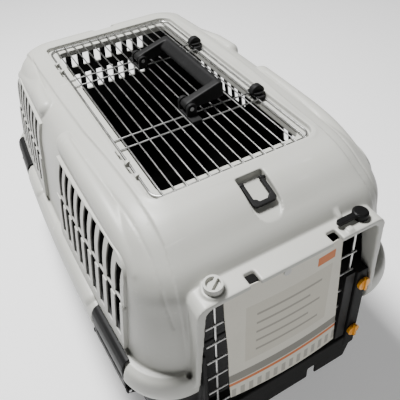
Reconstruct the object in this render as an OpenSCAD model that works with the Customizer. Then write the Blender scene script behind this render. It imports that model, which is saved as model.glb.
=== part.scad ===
// Plastic pet carrier with a wire roof hatch and a wire front door.
// Millimetres, +Z up, the front door faces -Y, the ground is z = 0.

/* [Body] */
// Width of the belt flange
body_w = 406; // [390:1:424]
// Length of the belt flange
body_l = 597; // [580:1:620]
// Height of the roof skin
roof_z = 385; // [378:1:396]
// Height of the joint between tray and shell
belt_z = 178; // [174:1:182]
// Wall thickness of both mouldings
wall = 3.2; // [2.8:0.1:3.6]

/* [Roof hatch] */
// Width of the hatch frame between wire centres
hatch_w = 214; // [206:1:218]
// Length of the hatch frame between wire centres
hatch_l = 402; // [390:1:404]
// Number of bars along the hatch
bar_count = 14; // [10:2:14]
// Diameter of the hatch frame wire
frame_d = 3; // [2.6:0.1:3.4]
// Diameter of the bars
bar_d = 2; // [1.8:0.1:2.4]
// Diameter of the cross wires
cross_d = 2.4; // [2.2:0.1:2.8]

/* [Handle] */
// Distance between the two handle arms
handle_span = 152; // [140:1:160]
// Reach of the handle from its pins
handle_reach = 44; // [40:1:48]
// Rest angle of the folded handle above level
handle_rest = 22; // [20:1:30]

/* [Front door] */
// Number of level wires in the door
level_count = 7; // [5:1:9]
// Diameter of the door wires
door_wire_d = 2.2; // [2:0.1:2.6]
// Diameter of the two door rods
rod_d = 3.2; // [3:0.1:3.6]
// Height of the door sill
sill_z = 110; // [106:1:114]

/* [Vents] */
// Pitch of the side vent slots
slot_pitch = 22; // [20:0.5:22]
// Width of a vent slot
slot_w = 9.5; // [8:0.5:11]

/* [Hidden] */
$fn = 32;
hw = body_w / 2;
yf = 12 - body_l / 2;
yr = body_l / 2 - 7.5;
porch_y = yf - 16;
shelf_z = roof_z - 48;
hatch_y = 15;
grip_y = 10.6;
frame_r = frame_d / 2;
bar_r = bar_d / 2;
cross_r = cross_d / 2;
floor_z = roof_z - 5;
frame_z = floor_z + frame_r + 0.4;
bar_z = frame_z + frame_r + bar_r - 0.4;
cross_z = bar_z - bar_r - cross_r + 0.4;
bar_pitch = hatch_w / (bar_count + 0.4);
pair_in = handle_span / 2 + 0.6;
pair_out = pair_in + 21;
pair_mid = (pair_in + pair_out) / 2;
lock_x = hatch_w / 2 - 5.65;
pin_z = roof_z + 13.5;
door_y = porch_y + 15;
rod_x = 95;
rod_r = rod_d / 2;
wire_r = door_wire_d / 2;
level_y = door_y - rod_r - wire_r + 0.4;
upright_y = level_y + 2 * wire_r - 0.4;
level_z0 = sill_z + 8;
toggle_x = -9.8;
toggle_z = roof_z - 65;
level_step = (roof_z - 72 - level_z0) / (level_count - 1);
post_y = porch_y + 5;
latch_y = 201.5;
latch_half = 43;
latch_yaw = 3.4;
latch_x = hw - 10.5;
hinge_z = belt_z - 7;
front_vent = [-232, -21];
rear_vent = [62, 228];

// Half outline from the front centre to the rear centre, with softly barrelled sides
function half_outline(a, f, r, rad, sag) =
    let (n = 5, m = 4, c = a - sag - rad, h = (r - f) / 2 - rad)
    concat(
        [for (i = [0:n]) [c + rad * cos(90 * i / n - 90), f + rad + rad * sin(90 * i / n - 90)]],
        [for (i = [1:m - 1]) [a - sag * pow(2 * i / m - 1, 2), (f + r) / 2 + (2 * i / m - 1) * h]],
        [for (i = [0:n]) [c + rad * cos(90 * i / n), r - rad + rad * sin(90 * i / n)]]);

function outline(a, f, r, rad, sag) =
    let (p = half_outline(a, f, r, rad, sag))
    concat(p, [for (i = [len(p) - 1:-1:0]) [-p[i][0], p[i][1]]]);

module slab(z, a, f, r, rad, sag = 8)
    translate([0, 0, z])
        linear_extrude(0.05)
            polygon(outline(a, f, r, rad, sag));

// Moves a child to one latch axis, whose local X points outwards
module at_latch(side, end)
    mirror([side < 0 ? 1 : 0, 0, 0])
        translate([latch_x, end * latch_y, hinge_z])
            rotate([0, 0, end * latch_yaw])
                children();

// Notch in the belt flange that lets a latch lie flush
module latch_seat()
    translate([-2, -latch_half - 0.9, -12])
        cube([30, 2 * latch_half + 1.8, 58]);

// Crowned form of the upper shell, grown outwards by g
module body_form(g, low = 205)
    hull() {
        slab(low, hw - 15 + g + (205 - low) * 0.03, yf - g, yr + g, 60 + g);
        slab(300, hw - 24.5 + g, yf + 6 - g, yr - 11 + g, 58 + g);
        slab(shelf_z, hw - 29 + g, yf + 12 - g, yr - 16 + g, 56 + g);
        slab(roof_z - 35 + g * 0.4, hw - 32.5 + g, yf + 22 - g, yr - 19 + g, 54 + g);
        slab(roof_z - 24 + g * 0.7, hw - 37 + g, yf + 36 - g, yr - 22.5 + g, 52 + g);
        slab(roof_z - 14 + g, hw - 44 + g, yf + 50 - g, yr - 27.5 + g, 48 + g);
        slab(roof_z - 6 + g, hw - 55 + g, yf + 66 - g, yr - 35 + g, 42 + g);
        slab(roof_z + g, hw - 75 + g, yf + 91 - g, yr - 51 + g, 32 + g);
    }

// Slightly raised middle panel whose edge draws the crease along the roof and down the front corners
module middle_panel()
    intersection() {
        body_form(2);
        linear_extrude(roof_z + 20)
            for (s = [0, 1])
                mirror([s, 0])
                    polygon([[-1, 340], [141, 340], [139, 220], [136, 60], [132.6, -30], [126.5, -96],
                        [124, -140], [122.4, -200], [122.2, -238], [125, -256], [128.5, -275],
                        [129, -340], [-1, -340]]);
    }

// Rounded belt flange around the shell
module flange_form()
    hull() {
        slab(belt_z, hw - 6, yf - 6, yr + 4, 64);
        slab(belt_z + 7, hw - 0.5, yf - 10, yr + 7, 68);
        slab(belt_z + 26, hw, yf - 10.5, yr + 7.5, 68.5);
        slab(belt_z + 34, hw - 3, yf - 8, yr + 5, 66);
        slab(belt_z + 38.5, hw - 9, yf - 3, yr + 1, 62);
    }

// Hollow under the flange
module flange_groove()
    difference() {
        hull() {
            slab(belt_z - 1, hw - 9.5, yf - 2.5, yr + 0.5, 61);
            slab(belt_z + 24, hw - 4, yf - 6.5, yr + 3.5, 65);
        }
        translate([0, 0, belt_z - 4])
            linear_extrude(40)
                polygon(outline(hw - 14.9, yf, yr, 60, 8));
    }

// Soft swelling on the flange that the hand grips
module grip_swell(side, y0, y1)
    hull() {
        translate([side * (hw - 14), y0, belt_z + 31])
            sphere(13, $fn = 14);
        translate([side * (hw - 15.5), y1, belt_z + 31])
            sphere(13, $fn = 14);
    }

// Fall of a hood's crest from the roof, level over most of its length and steep towards the front corner
function hood_drop(y) = y > 0 ? -16.5 - (y - 70) * 0.0485 : -18 - 12 * pow(max(0, -100 - y) / 100, 3);

// Raised shoulder hood over a side vent, grown by g
module shoulder_hood(side, crest, low, g)
    hull() {
        for (y = crest)
            translate([side * (hw - 49.5 - 6 * pow(y / 235, 2)), y, roof_z + hood_drop(y)])
                sphere(14.5 + g, $fn = 14);
        for (y = low) {
            translate([side * (hw - 80), y, roof_z - 24])
                sphere(10 + g, $fn = 10);
            translate([side * (hw - 49), y, roof_z - 38])
                sphere(10 + g, $fn = 10);
        }
    }

module shoulder_hoods(g)
    for (s = [-1, 1]) {
        shoulder_hood(s, [-16, -100, -150, -190, -215, -232], [-26, -200], g);
        shoulder_hood(s, [74, 240], [82, 232], g);
    }

// Side view of a vent panel, arched at its outer end
module vent_prism(v, z0, z1, arch, g)
    rotate([90, 0, 90])
        translate([0, 0, -hw])
            linear_extrude(2 * hw)
                hull() {
                    translate([v[0] - g, z0])
                        square([v[1] - v[0] + 2 * g, 4]);
                    translate([v[1] > 0 ? v[0] - g : v[1] + g - 6, z1 + g - 6])
                        square(6);
                    translate([v[1] > 0 ? v[1] + g - arch : v[0] - g + arch, z1 + g - arch])
                        circle(arch, $fn = 16);
                }

// Two stepped louvre tiers of one vent, grown by g
module vent_tiers(v, g) {
    intersection() {
        body_form(3.6 + g);
        vent_prism(v, 296, 356, 26, g);
    }
    intersection() {
        body_form(7 + g);
        vent_prism(v, 225, 297, 8, g);
    }
}

// Two rows of slots, the end one next to the arch a little lower
module vent_slots(first, count, low)
    for (i = [0:count - 1], side = [-1, 1])
        translate([side * (hw - 28) - 30, first + i * slot_pitch - slot_w / 2, 0]) {
            translate([0, 0, 303])
                cube([60, slot_w, i == low ? 44 : 51.5]);
            translate([0, 0, 242])
                cube([60, slot_w, 57.5]);
        }

module rear_slots()
    for (i = [-3.5:1:3.5])
        translate([i * 22 - 6, yr - 45, 0]) {
            translate([0, 0, 309])
                cube([12, 60, 36]);
            translate([0, 0, 252])
                cube([12, 60, 40]);
        }

// Porch hood that frames the doorway
module porch_form()
    hull() {
        for (s = [-1, 1])
            translate([s * 109, porch_y, shelf_z - 13])
                rotate([-90, 0, 0])
                    cylinder(r = 13, h = 60, $fn = 20);
        translate([-128, porch_y + 3, 200])
            cube([256, 55, 4]);
    }

module doorway_form()
    hull() {
        for (s = [-1, 1])
            translate([s * 103, porch_y - 20, shelf_z - 16])
                rotate([-90, 0, 0])
                    cylinder(r = 9.5, h = 90, $fn = 16);
        translate([-123, porch_y - 20, 90])
            cube([246, 90, 100]);
    }

module hatch_plate(grow, r, z, h)
    translate([0, hatch_y, z])
        linear_extrude(h)
            offset(r, $fn = 20)
                square([hatch_w + 2 * grow - 2 * r, hatch_l + 2 * grow - 2 * r], center = true);

// Recess of the hatch frame, with fuller corners on the hinge side where the wire swings up
module hatch_recess() {
    hatch_plate(5, 19, floor_z, 20);
    for (s = [-1, 1])
        translate([4.5 - hatch_w / 2, hatch_y + s * (hatch_l / 2 - 4.5), floor_z])
            linear_extrude(20)
                offset(9, $fn = 20)
                    square(1, center = true);
}

// Tongue shaped pocket that a bail lies in, pointing to -Y from the origin
module pocket_form(grow, len, slope)
    intersection() {
        translate([0, 0, 300])
            linear_extrude(120)
                hull() {
                    translate([-18 - grow, -2])
                        square([36 + 2 * grow, 2 + grow]);
                    translate([0, 18 - len])
                        circle(18 + grow, $fn = 20);
                }
        translate([-60, 0, roof_z - 9 - grow])
            rotate([slope, 0, 0])
                translate([0, -150, 0])
                    cube([120, 300, 90]);
    }

module front_pocket(grow)
    translate([0, yf + 80, 0])
        pocket_form(grow, 53, 19.6);

module rear_pocket(grow)
    translate([0, yr - 50, 0])
        mirror([0, 1, 0])
            pocket_form(grow, 46, 24);

// Hook that holds the hatch wire on the hinge side
module hinge_hook(y, w)
    translate([-hatch_w / 2, y + w / 2, frame_z])
        rotate([90, 0, 0])
            linear_extrude(w)
                difference() {
                    intersection() {
                        circle(frame_r + 3.2);
                        translate([-8, -8])
                            square([9.6, 16]);
                    }
                    circle(frame_r + 0.5);
                }

module hinge_slot(y, w)
    translate([-hatch_w / 2 - 7, y - w / 2, roof_z - 20])
        cube([4.2, w, 40]);

// Pocket in the ledge under a hatch lock, open upwards and undercut on the outside
module lock_pocket(y)
    translate([0, y, 0]) {
        translate([hatch_w / 2 - 20, -14, roof_z - 10.5])
            cube([24, 28, 20]);
        translate([hatch_w / 2 - 20, -14, roof_z - 10.5])
            cube([28, 28, 5.3]);
    }

module upper_shell()
    color([0.75, 0.75, 0.71]) {
        for (y = [-142, -115.2, 138.5, 164.2])
            hinge_hook(y, 5);
        difference() {
            union() {
                difference() {
                    union() {
                        body_form(0);
                        middle_panel();
                        flange_form();
                        for (s = [-1, 1]) {
                            grip_swell(s, -4, -138);
                            grip_swell(s, 90, 140);
                        }
                        shoulder_hoods(0);
                        vent_tiers(front_vent, 0);
                        vent_tiers(rear_vent, 0);
                        porch_form();
                    }
                    body_form(-wall, 150);
                    shoulder_hoods(-wall);
                    flange_groove();
                }
                intersection() {
                    hatch_plate(9.5, 19, roof_z - 15, 17.5);
                    body_form(2.5);
                }
                intersection() {
                    front_pocket(4);
                    body_form(2);
                }
                intersection() {
                    rear_pocket(4);
                    body_form(2);
                }
                translate([-rod_x, door_y, shelf_z - 3])
                    cylinder(r = 13, h = 6.4);
                hull() {
                    translate([72, door_y + 7, shelf_z - 2])
                        cube([6, 3, 5]);
                    translate([72, door_y + 25, shelf_z - 2])
                        cube([6, 3, 17]);
                }
                translate([70, door_y - 12, shelf_z - 1])
                    cube([7, 7, 3.6]);
                for (side = [-1, 1], end = [-1, 1])
                    at_latch(side, end)
                        translate([-10.6, -latch_half - 4, belt_z + 1.3 - hinge_z])
                            cube([10, 2 * latch_half + 8, 31.5]);
            }
            for (side = [-1, 1], end = [-1, 1])
                at_latch(side, end)
                    latch_seat();
            hatch_recess();
            hatch_plate(-10, 9, roof_z - 40, 60);
            doorway_form();
            vent_slots(-218.5, 9, 0);
            vent_slots(80, 7, 6);
            rear_slots();
            front_pocket(0);
            rear_pocket(0);
            for (s = [-1, 1]) {
                translate([s * 53.5 - 6.5, porch_y - 5, shelf_z - 15])
                    cube([13, 20.5, 30]);
                for (y = [yf - 3, yr + 2.5])
                    translate([s * 131, y, belt_z + 25.5])
                        cylinder(r = 3.2, h = 30, $fn = 16);
            }
            for (y = [yf + 73, yr - 43])
                translate([-21, y, roof_z - 7])
                    rotate([0, 90, 0])
                        cylinder(r = 2.6, h = 42, $fn = 12);
            translate([-rod_x, door_y, shelf_z - 20])
                cylinder(r = rod_r + 0.6, h = 40, $fn = 24);
            translate([rod_x + 1, door_y, shelf_z - 20])
                cylinder(r = 3.8, h = 40, $fn = 24);
            for (y = [grip_y - pair_mid, grip_y + pair_mid])
                lock_pocket(y);
            for (y = [-129.5, -101, 125.5, 151.5])
                hinge_slot(y, 19.5);
        }
    }

// Outer form of the tray, grown by g
module tray_form(g, top, bottom)
    hull() {
        slab(top, hw - 14 + g, yf - 1 - g, yr + g, 60 + g);
        slab(60, hw - 31 + g, yf + 18 - g, yr - 24 + g, 52 + g);
        slab(14, hw - 42 + g, yf + 36 - g, yr - 40 + g, 46 + g);
        slab(bottom, hw - 50 + g, yf + 46 - g, yr - 48 + g, 40 + g);
    }

// Upright tongue of the tray that stands inside the shell
module tongue_form(g) {
    hull() {
        slab(belt_z - 14, hw - 16 + g, yf + 2 - g, yr - 2 + g, 58 + g);
        slab(belt_z - 3, hw - 19.4 + g, yf + 5.6 - g, yr - 6.4 + g, 57 + g);
    }
    hull() {
        slab(belt_z - 6, hw - 19.8 + g, yf + 6 - g, yr - 6.8 + g, 56.6 + g);
        slab(belt_z + 34, hw - 22.2 + g, yf + 7 - g, yr - 9 + g, 56 + g);
    }
}

// Apron under the doorway, grown by g
module apron_form(g)
    hull() {
        translate([-118 - g, porch_y + 6 - g, sill_z - 4 + g])
            cube([236 + 2 * g, 40, 4]);
        translate([-105 - g, porch_y + 6 - g, 62 - 2 * max(0, -g)])
            cube([210 + 2 * g, 40, 4]);
    }

module latch_lug(y)
    hull() {
        translate([0, y + 2.6, 0])
            rotate([90, 0, 0])
                cylinder(r = 5, h = 5.2, $fn = 24);
        translate([-14.5, y - 2.6, -12])
            cube([6, 5.2, 16.5]);
    }

module lower_tray()
    color([0.09, 0.09, 0.09])
        difference() {
            union() {
                difference() {
                    union() {
                        tray_form(0, belt_z - 1, 3);
                        tongue_form(0);
                        apron_form(0);
                    }
                    tray_form(-wall, belt_z - 8, 7);
                    tongue_form(-wall);
                    translate([0, 0, belt_z - 4])
                        linear_extrude(60)
                            polygon(outline(hw - 25.6, yf + 10.4, yr - 12.4, 53, 8));
                    intersection() {
                        apron_form(-wall);
                        translate([-150, porch_y - 10, 40])
                            cube([300, 28, sill_z - 46]);
                    }
                    translate([-112, porch_y - 20, sill_z])
                        cube([212.5, 80, 200]);
                    translate([41, porch_y - 20, 40])
                        cube([12, 36, 42]);
                }
                translate([100.5, post_y, sill_z - 20])
                    cube([17, 16, 156]);
                translate([-117.5, post_y, sill_z - 20])
                    cube([5.5, 16, 156]);
                for (y = [-150, -50, 50, 150])
                    translate([-130, y - 3, 5])
                        cube([260, 6, 5.5]);
                for (side = [-1, 1], end = [-1, 1], y = [-1, 1])
                    at_latch(side, end)
                        latch_lug(y * (latch_half + 3.4));
            }
            for (side = [-1, 1], end = [-1, 1])
                at_latch(side, end)
                    translate([0, 60, 0])
                        rotate([90, 0, 0])
                            cylinder(r = 2.25, h = 120, $fn = 20);
            for (p = [[110.5, 223], [109, 127]])
                translate([p[0], post_y + 12, p[1]])
                    rotate([90, 0, 0])
                        cylinder(r = 3.6, h = 20, $fn = 24);
            translate([-rod_x, door_y, sill_z - 9])
                cylinder(r = rod_r + 0.6, h = 20, $fn = 24);
            for (x = [-118, 118], y = [-175, 175])
                translate([x, y, -1])
                    cylinder(r = 4.2, h = 20, $fn = 24);
        }

module tray_feet()
    color([0.05, 0.05, 0.05])
        for (x = [-118, 118], y = [-175, 175])
            translate([x, y, 0]) {
                cylinder(r1 = 10, r2 = 11.5, h = 2.7);
                cylinder(r = 3.8, h = 7);
            }

module latch_pins()
    color([0.6, 0.6, 0.6])
        for (side = [-1, 1], end = [-1, 1])
            at_latch(side, end)
                translate([0, latch_half + 6, 0])
                    rotate([90, 0, 0])
                        cylinder(r = 1.9, h = 2 * latch_half + 12, $fn = 24);

// One closed ring of wire with rounded corners
module roof_frame()
    color([0.8, 0.8, 0.8])
        translate([0, hatch_y, frame_z]) {
            for (s = [-1, 1]) {
                translate([s * hatch_w / 2, hatch_l / 2 - 14, 0])
                    rotate([90, 0, 0])
                        cylinder(r = frame_r, h = hatch_l - 28);
                translate([14 - hatch_w / 2, s * hatch_l / 2, 0])
                    rotate([0, 90, 0])
                        cylinder(r = frame_r, h = hatch_w - 28);
            }
            for (k = [0:3])
                translate([(k % 3 == 0 ? 1 : -1) * (hatch_w / 2 - 14),
                    (k < 2 ? 1 : -1) * (hatch_l / 2 - 14), 0])
                    rotate([0, 0, 90 * k])
                        rotate_extrude(angle = 90)
                            translate([14, 0])
                                circle(frame_r);
        }

module roof_bars()
    color([0.8, 0.8, 0.8])
        for (i = [0:bar_count - 1])
            translate([(i - (bar_count - 1) / 2) * bar_pitch, hatch_y + hatch_l / 2 + 3, bar_z])
                rotate([90, 0, 0])
                    cylinder(r = bar_r, h = hatch_l + 6);

module roof_cross_wires()
    color([0.8, 0.8, 0.8])
        for (s = [-1, 1], d = [pair_in, pair_out])
            translate([frame_r - 0.4 - hatch_w / 2, grip_y + s * d, cross_z])
                rotate([0, 90, 0])
                    cylinder(r = cross_r, h = hatch_w - 2 * frame_r + 0.8);

// Leg that clips round a cross wire from above
module wire_clip(x, w, y)
    translate([x - w / 2, y, cross_z])
        rotate([90, 0, 90])
            linear_extrude(w)
                difference() {
                    translate([-3, -cross_r - 1.6])
                        square([6, bar_z + bar_r + 1.4 - cross_z + cross_r + 1.6]);
                    circle(cross_r - 0.1);
                }

// Foot that carries one handle pin, for the positive end
module handle_foot()
    difference() {
        union() {
            translate([-7.5, handle_span / 2 - 14, bar_z + bar_r + 0.2])
                cube([15, 41, 3.2]);
            for (y = [-11.4, 11.4])
                translate([0, handle_span / 2 + y + 2.4, 0])
                    rotate([90, 0, 0])
                        linear_extrude(4.8) {
                            translate([0, pin_z])
                                circle(7);
                            translate([-7, bar_z + bar_r + 0.4])
                                square([14, pin_z - bar_z - bar_r - 0.4]);
                        }
            for (y = [pair_in, pair_out])
                wire_clip(0, 10, y);
        }
        translate([0, handle_span / 2 + 20, pin_z])
            rotate([90, 0, 0])
                cylinder(r = 2.8, h = 40);
    }

module handle_foot_front()
    color([0.12, 0.12, 0.12])
        translate([0, grip_y, 0])
            mirror([0, 1, 0])
                handle_foot();

module handle_foot_rear()
    color([0.12, 0.12, 0.12])
        translate([0, grip_y, 0])
            handle_foot();

module handle_pins()
    color([0.55, 0.55, 0.55])
        for (s = [-1, 1])
            translate([0, grip_y + s * handle_span / 2 + 14, pin_z])
                rotate([90, 0, 0])
                    cylinder(r = 2.9, h = 28);

// Section of the grip, a thick plate that leans inwards
module grip_section()
    translate([handle_reach - 44, 0]) {
        polygon([[37.1, -2.2], [48.5, 2.2], [54.6, -4.4], [50.6, -10.7], [46.6, -13], [38.1, -11]]);
        translate([38.5, -6.5])
            circle(4.5);
        translate([50, -2.5])
            circle(5);
        translate([47, -9])
            circle(4);
    }

// Side view of an arm that gets deeper from its pin to the grip
module arm_section() {
    r = handle_reach;
    polygon([[0.6, 6.97], [r + 6.4, 2.48], [r + 10.8, -3.9],
        [r + 5.3, -18.3], [r - 0.6, -21.2], [-2.4, -6.6]]);
    circle(7);
    translate([r + 6, -2.5])
        circle(5);
    translate([r + 1, -17])
        circle(4.5);
}

module carry_handle()
    color([0.12, 0.12, 0.12])
        translate([0, grip_y, pin_z])
            rotate([0, -handle_rest, 0])
                difference() {
                    union() {
                        translate([0, handle_span / 2, 0])
                            rotate([90, 0, 0])
                                linear_extrude(handle_span)
                                    grip_section();
                        for (s = [-1, 1]) {
                            translate([0, s * handle_span / 2 + 6.5, 0])
                                rotate([90, 0, 0])
                                    linear_extrude(13)
                                        arm_section();
                            translate([0, s * handle_span / 2 + 8, 0])
                                rotate([90, 0, 0])
                                    cylinder(r = 7, h = 16);
                        }
                    }
                    translate([0, handle_span, 0])
                        rotate([90, 0, 0])
                            cylinder(r = 3.3, h = 2 * handle_span);
                }

// Plate under a hatch lock, clipped to a pair of cross wires
module lock_seat(y)
    color([0.12, 0.12, 0.12])
        difference() {
            union() {
                translate([lock_x - 5.5, y - 14, bar_z + bar_r + 0.3])
                    cube([11, 28, 1.7]);
                for (s = [-1, 1])
                    wire_clip(lock_x, 5.4, y + s * (pair_mid - pair_in));
            }
            translate([lock_x, y, roof_z - 20])
                cylinder(r = 3, h = 40);
        }

module lock_seat_front()
    lock_seat(grip_y - pair_mid);

module lock_seat_rear()
    lock_seat(grip_y + pair_mid);

// Turn lock with a half moon wing above and a tongue below
module roof_lock(y)
    color([0.1, 0.1, 0.1])
        translate([lock_x, y, 0]) {
            translate([0, 0, bar_z + bar_r + 2.3])
                cylinder(r = 9.8, h = 3.6);
            translate([0, 4.5, bar_z + bar_r + 4.5])
                rotate([90, 0, 0])
                    linear_extrude(9)
                        intersection() {
                            circle(10.5);
                            translate([-12, 0])
                                square([24, 12]);
                        }
            translate([0, 0, roof_z - 8.8])
                cylinder(r = 2.5, h = bar_z + bar_r + 13 - roof_z);
            translate([-2.4, -4, roof_z - 9])
                cube([4.8, 16.8, 3.4]);
        }

module roof_lock_front()
    roof_lock(grip_y - pair_mid);

module roof_lock_rear()
    roof_lock(grip_y + pair_mid);

module door_hinge_rod()
    color([0.75, 0.75, 0.75])
        translate([-rod_x, door_y, sill_z - 5])
            cylinder(r = rod_r, h = shelf_z - sill_z + 4);

module door_lock_rod()
    color([0.75, 0.75, 0.75])
        translate([rod_x, door_y, sill_z + 3])
            cylinder(r = rod_r, h = shelf_z - sill_z - 16);

module door_uprights()
    color([0.75, 0.75, 0.75])
        for (i = [1:6])
            translate([-rod_x + i * 2 * rod_x / 7, upright_y, sill_z + 3])
                cylinder(r = wire_r, h = roof_z - 63 - sill_z);

module door_levels()
    color([0.75, 0.75, 0.75])
        for (i = [0:level_count - 1])
            translate([-rod_x - 13, level_y, level_z0 + i * level_step])
                rotate([0, 90, 0])
                    cylinder(r = wire_r, h = 2 * rod_x + 16.5);

// Small loop under the lowest level wire
module door_loop()
    color([0.85, 0.85, 0.85])
        translate([75.4, level_y, level_z0 - 0.6])
            rotate([-90, 0, 0])
                rotate_extrude(angle = 180)
                    translate([4.6, 0])
                        circle(1.2);

// Thin card in front of the door wires, bowed outwards along its middle and hung a little askew
module insert_card()
    color([0.85, 0.83, 0.75])
        difference() {
            intersection() {
                translate([0, level_y - wire_r - 0.4, sill_z])
                    linear_extrude(roof_z - 165)
                        translate([0, 818])
                            difference() {
                                circle(822.8, $fn = 400);
                                circle(822, $fn = 400);
                            }
                translate([0, door_y, 0])
                    rotate([90, 0, 0])
                        linear_extrude(20)
                            polygon([[-79, sill_z + 9], [84, sill_z + 3],
                                [69, roof_z - 59], [-86, roof_z - 59]]);
            }
            translate([toggle_x, door_y + 20, toggle_z])
                rotate([90, 0, 0])
                    cylinder(r = 3, h = 60);
        }

// Toggle that ties the card to the door wires
module card_toggle()
    color([0.8, 0.8, 0.8])
        translate([toggle_x, 0, toggle_z]) {
            translate([0, level_y - wire_r - 5.4, 0])
                rotate([90, 0, 0])
                    cylinder(r = 5, h = 1.4);
            translate([0, upright_y + wire_r + 2, 0])
                rotate([90, 0, 0])
                    cylinder(r = 2, h = 4 * wire_r + 8);
            translate([-18, upright_y + wire_r + 0.4, -2])
                cube([36, 3, 4]);
        }

// Dark edge plate of the door that the turn locks hold
module door_stile()
    color([0.1, 0.1, 0.1])
        translate([84.5, level_y - wire_r - 3.6, sill_z + 4]) {
            cube([14.6, 4.6, roof_z - 253]);
            translate([2, 1.2, 0])
                cube([3, 5, roof_z - 253]);
        }

// Cap over the hinge rod with a bar across its ring
module hinge_cap()
    color([0.75, 0.75, 0.71])
        translate([-rod_x, door_y, shelf_z]) {
            difference() {
                translate([0, 0, 3.9])
                    cylinder(r = 10.5, h = 7);
                translate([0, 0, 6.4])
                    cylinder(r = 7.8, h = 10);
            }
            rotate([0, 0, 35])
                translate([-8.6, -1.8, 6])
                    cube([17.2, 3.6, 4.9]);
            translate([0, 0, 0.2])
                cylinder(r = rod_r + 0.2, h = 5);
        }

// Lever on the porch with a finger that holds the lock rod from below
module door_lever()
    color([0.1, 0.1, 0.1])
        translate([rod_x + 1, door_y, shelf_z]) {
            translate([0, 0, 0.8])
                cylinder(r = 9.4, h = 7.2);
            translate([0, 0, 7])
                cylinder(r1 = 9.4, r2 = 7.4, h = 2.4);
            translate([-30, -3.6, 4.4])
                cube([30, 7.2, 4.2]);
            translate([-30, 0, 4.4])
                cylinder(r = 3.6, h = 4.2);
            translate([0, 0, -10.4])
                cylinder(r = 3.2, h = 12);
            translate([-12, -3, -10.4])
                cube([12, 6, 3]);
            translate([-12, -3, -20.5])
                cube([3.5, 6, 12]);
        }

// Turn knob on the post with a blade that swings over the lock rod
module twist_lock(x, z)
    color([0.9, 0.38, 0.1])
        translate([x, post_y, z])
            rotate([90, 0, 0]) {
                translate([0, 0, 0.5])
                    cylinder(r = 9, h = 3.5);
                translate([0, 0, -9])
                    cylinder(r = 3.1, h = 11);
                translate([-2, -9, 3])
                    cube([4, 24, 5.5]);
                translate([0, 15, 3])
                    cylinder(r = 2, h = 5.5);
            }

module twist_lock_upper()
    twist_lock(110.5, 223);

module twist_lock_lower()
    twist_lock(109, 127);

// Clip that hooks over the belt flange from the tray
module latch()
    color([0.12, 0.12, 0.12])
        difference() {
            translate([0, latch_half, 0])
                rotate([90, 0, 0])
                    linear_extrude(2 * latch_half) {
                        circle(4.2);
                        polygon([[-1.4, 0], [3.8, 0], [3.8, 34], [2.6, 41.5], [-0.4, 47], [-3.8, 49.4],
                            [-8.2, 49.8], [-8.2, 46.3], [-1.4, 46.3]]);
                    }
            translate([0, 60, 0])
                rotate([90, 0, 0])
                    cylinder(r = 2.3, h = 120);
            translate([2.4, 6 - latch_half, 10])
                cube([10, 2 * latch_half - 12, 10]);
        }

module latch_front_left()
    at_latch(-1, -1)
        latch();

module latch_front_right()
    at_latch(1, -1)
        latch();

module latch_rear_left()
    at_latch(-1, 1)
        latch();

module latch_rear_right()
    at_latch(1, 1)
        latch();

// Lifting bail lying along -Y from its stubs
module bail(arm)
    color([0.15, 0.15, 0.15]) {
        for (s = [-1, 1]) {
            translate([s * 13.2 - 2.4, -arm, -2])
                cube([4.8, arm, 4]);
            translate([s * 13.2 - 2.4, 0, 0])
                rotate([0, 90, 0])
                    cylinder(r = 2.8, h = 4.8);
            translate([s * 17.6 - 3, 0, 0])
                rotate([0, 90, 0])
                    cylinder(r = 2, h = 6);
            translate([s * 10.8, -arm, -2])
                cylinder(r = 4.8, h = 4);
        }
        translate([-10.8, -arm - 4.8, -2])
            cube([21.6, 5.6, 4]);
    }

module bail_front()
    translate([0, yf + 73, roof_z - 7])
        rotate([18, 0, 0])
            bail(26);

module bail_rear()
    translate([0, yr - 43, roof_z - 7])
        mirror([0, 1, 0])
            rotate([26, 0, 0])
                bail(19);

lower_tray();
upper_shell();
tray_feet();
latch_pins();
roof_frame();
roof_bars();
roof_cross_wires();
handle_foot_front();
handle_foot_rear();
handle_pins();
carry_handle();
lock_seat_front();
lock_seat_rear();
roof_lock_front();
roof_lock_rear();
door_hinge_rod();
door_lock_rod();
door_uprights();
door_levels();
door_loop();
door_stile();
insert_card();
card_toggle();
hinge_cap();
door_lever();
twist_lock_upper();
twist_lock_lower();
latch_front_left();
latch_front_right();
latch_rear_left();
latch_rear_right();
bail_front();
bail_rear();
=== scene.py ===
"""Looks of a plastic pet carrier with a wire roof hatch and a wire front door."""

import logging
import math
from dataclasses import dataclass, replace
from enum import Enum
from typing import Dict, Iterable, List, Mapping, Optional, Sequence, Tuple, Union

import bmesh
import bpy
from mathutils import Matrix, Vector
from mathutils.bvhtree import BVHTree


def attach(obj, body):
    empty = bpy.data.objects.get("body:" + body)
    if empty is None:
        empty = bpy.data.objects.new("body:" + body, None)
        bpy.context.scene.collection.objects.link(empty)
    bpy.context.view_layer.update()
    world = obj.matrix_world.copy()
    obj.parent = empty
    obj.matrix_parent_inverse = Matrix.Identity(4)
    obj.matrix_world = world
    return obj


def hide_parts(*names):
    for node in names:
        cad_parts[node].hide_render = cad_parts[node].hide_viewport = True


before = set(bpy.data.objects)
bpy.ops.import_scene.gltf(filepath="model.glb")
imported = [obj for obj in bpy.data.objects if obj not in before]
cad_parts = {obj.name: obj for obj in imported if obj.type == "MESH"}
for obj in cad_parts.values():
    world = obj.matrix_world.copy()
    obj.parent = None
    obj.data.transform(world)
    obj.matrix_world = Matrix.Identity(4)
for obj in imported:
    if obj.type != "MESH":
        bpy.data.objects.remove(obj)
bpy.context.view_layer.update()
LOG = logging.getLogger("carrier")
MM = 0.001
SHARP = math.radians(48)
MIRROR = Matrix.Scale(-1.0, 4, (1.0, 0.0, 0.0))
Point2 = Tuple[float, float]
Point3 = Tuple[float, float, float]
Colour = Tuple[float, float, float]


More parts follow.
